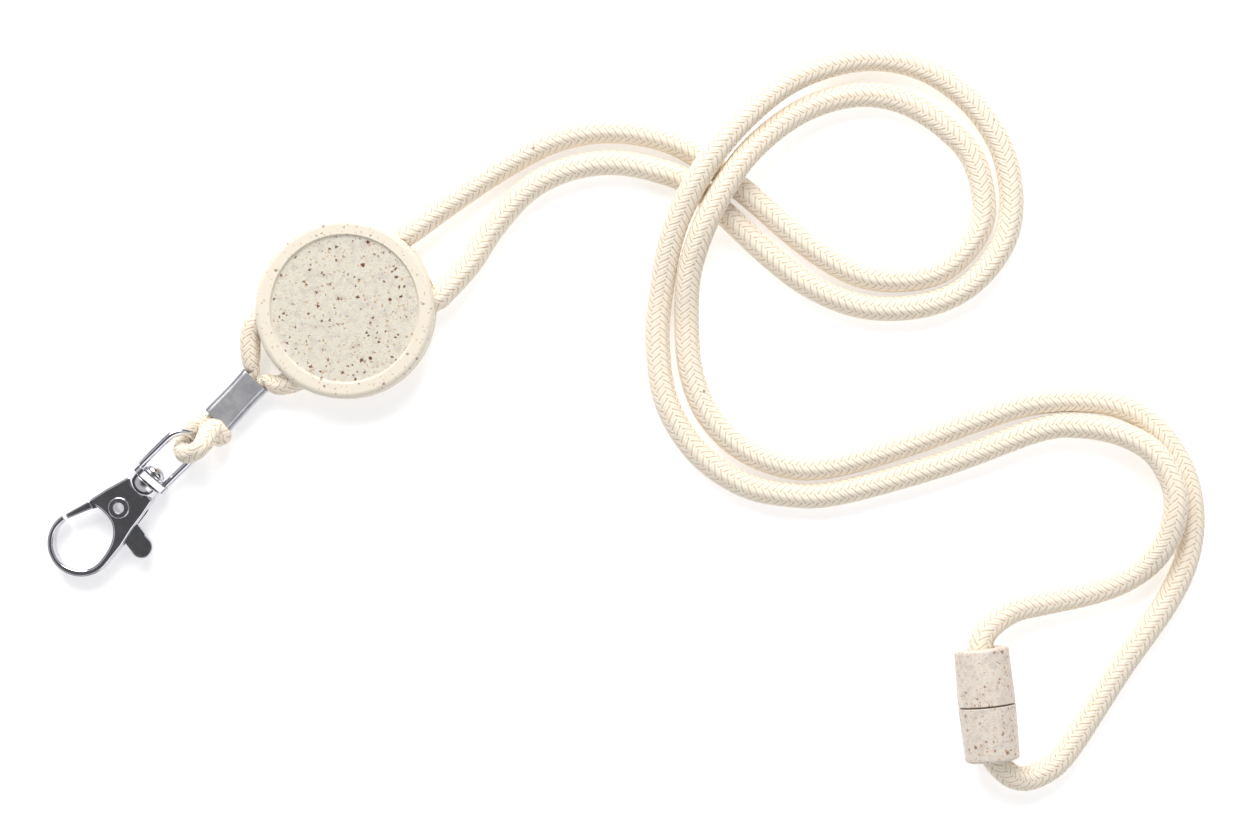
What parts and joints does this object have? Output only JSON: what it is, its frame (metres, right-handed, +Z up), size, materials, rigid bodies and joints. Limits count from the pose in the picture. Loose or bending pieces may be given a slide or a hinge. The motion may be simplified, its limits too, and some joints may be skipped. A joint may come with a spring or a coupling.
{
  "type": "lanyard",
  "caption": "Braided cord lanyard with a round slider disc, a crimped sleeve, a swivel trigger hook and a round break-away buckle.",
  "frame": {"origin": "centre of the disc's flat back face, on the surface that the lanyard lies on", "axes": "+Z up out of the disc's recessed face, +X along the lanyard's long side from the hook towards the buckle, +Y across it, away from the buckle"},
  "size_m": [0.2266, 0.1453, 0.0113],
  "materials": {
    "disc_face": "straw-filled cream plastic with brown specks, satin",
    "disc_shell": "straw-filled cream plastic, satin",
    "buckle_plastic": "straw-filled cream plastic with warm brown specks, satin",
    "tongue_plastic": "plain moulded plastic",
    "polished_nickel": "polished nickel plate",
    "satin_nickel": "satin nickel plate",
    "spring_steel": "bright spring wire",
    "braided_cotton": "natural cotton round braid"
  },
  "bodies": {
    "lanyard": {"disc_front_shell": "disc_face", "disc_back_shell": "disc_shell", "crimp_ferrule": "satin_nickel", "buckle_socket": "buckle_plastic", "socket_cord_crimp": "satin_nickel", "cord_hook_loop": "braided_cotton", "cord_outer_run": "braided_cotton", "cord_inner_run": "braided_cotton"},
    "bail": {"swivel_bail": "polished_nickel"},
    "hook": {"hook_body": "polished_nickel", "swivel_post": "polished_nickel", "swivel_washer": "polished_nickel", "gate_rivet": "polished_nickel", "gate_spring": "spring_steel"},
    "gate": {"hook_gate": "polished_nickel"},
    "plug": {"buckle_plug_sleeve": "buckle_plastic", "buckle_plug_insert": "tongue_plastic", "plug_cord_crimp": "satin_nickel", "cord_plug_lead": "braided_cotton"}
  },
  "joints": [
    {"name": "bail_swing", "type": "hinge", "parent": "lanyard", "child": "bail", "pos_m": [-0.0299, -0.0247, 0.0046], "axis": [-0.6292, 0.5961, 0.4987], "range_deg": [0, 100]},
    {"name": "hook_swivel", "type": "hinge", "parent": "bail", "child": "hook", "pos_m": [-0.0299, -0.0247, 0.0046], "axis": [-0.7155, -0.6948, -0.0722], "continuous": true},
    {"name": "gate_hinge", "type": "hinge", "parent": "hook", "child": "gate", "pos_m": [-0.04414, -0.03867, 0.00316], "axis": [-0.0518, -0.0503, 0.9974], "range_deg": [0, 35], "stiffness_Nm_per_rad": 0.02, "springref_deg": -20.05, "deforming": ["gate_spring"]},
    {"name": "buckle_pull", "type": "slide", "parent": "lanyard", "child": "plug", "axis": [0.104, -0.9946, 0], "range_m": [0, 0.012], "deforming": ["cord_plug_lead"]}
  ]
}
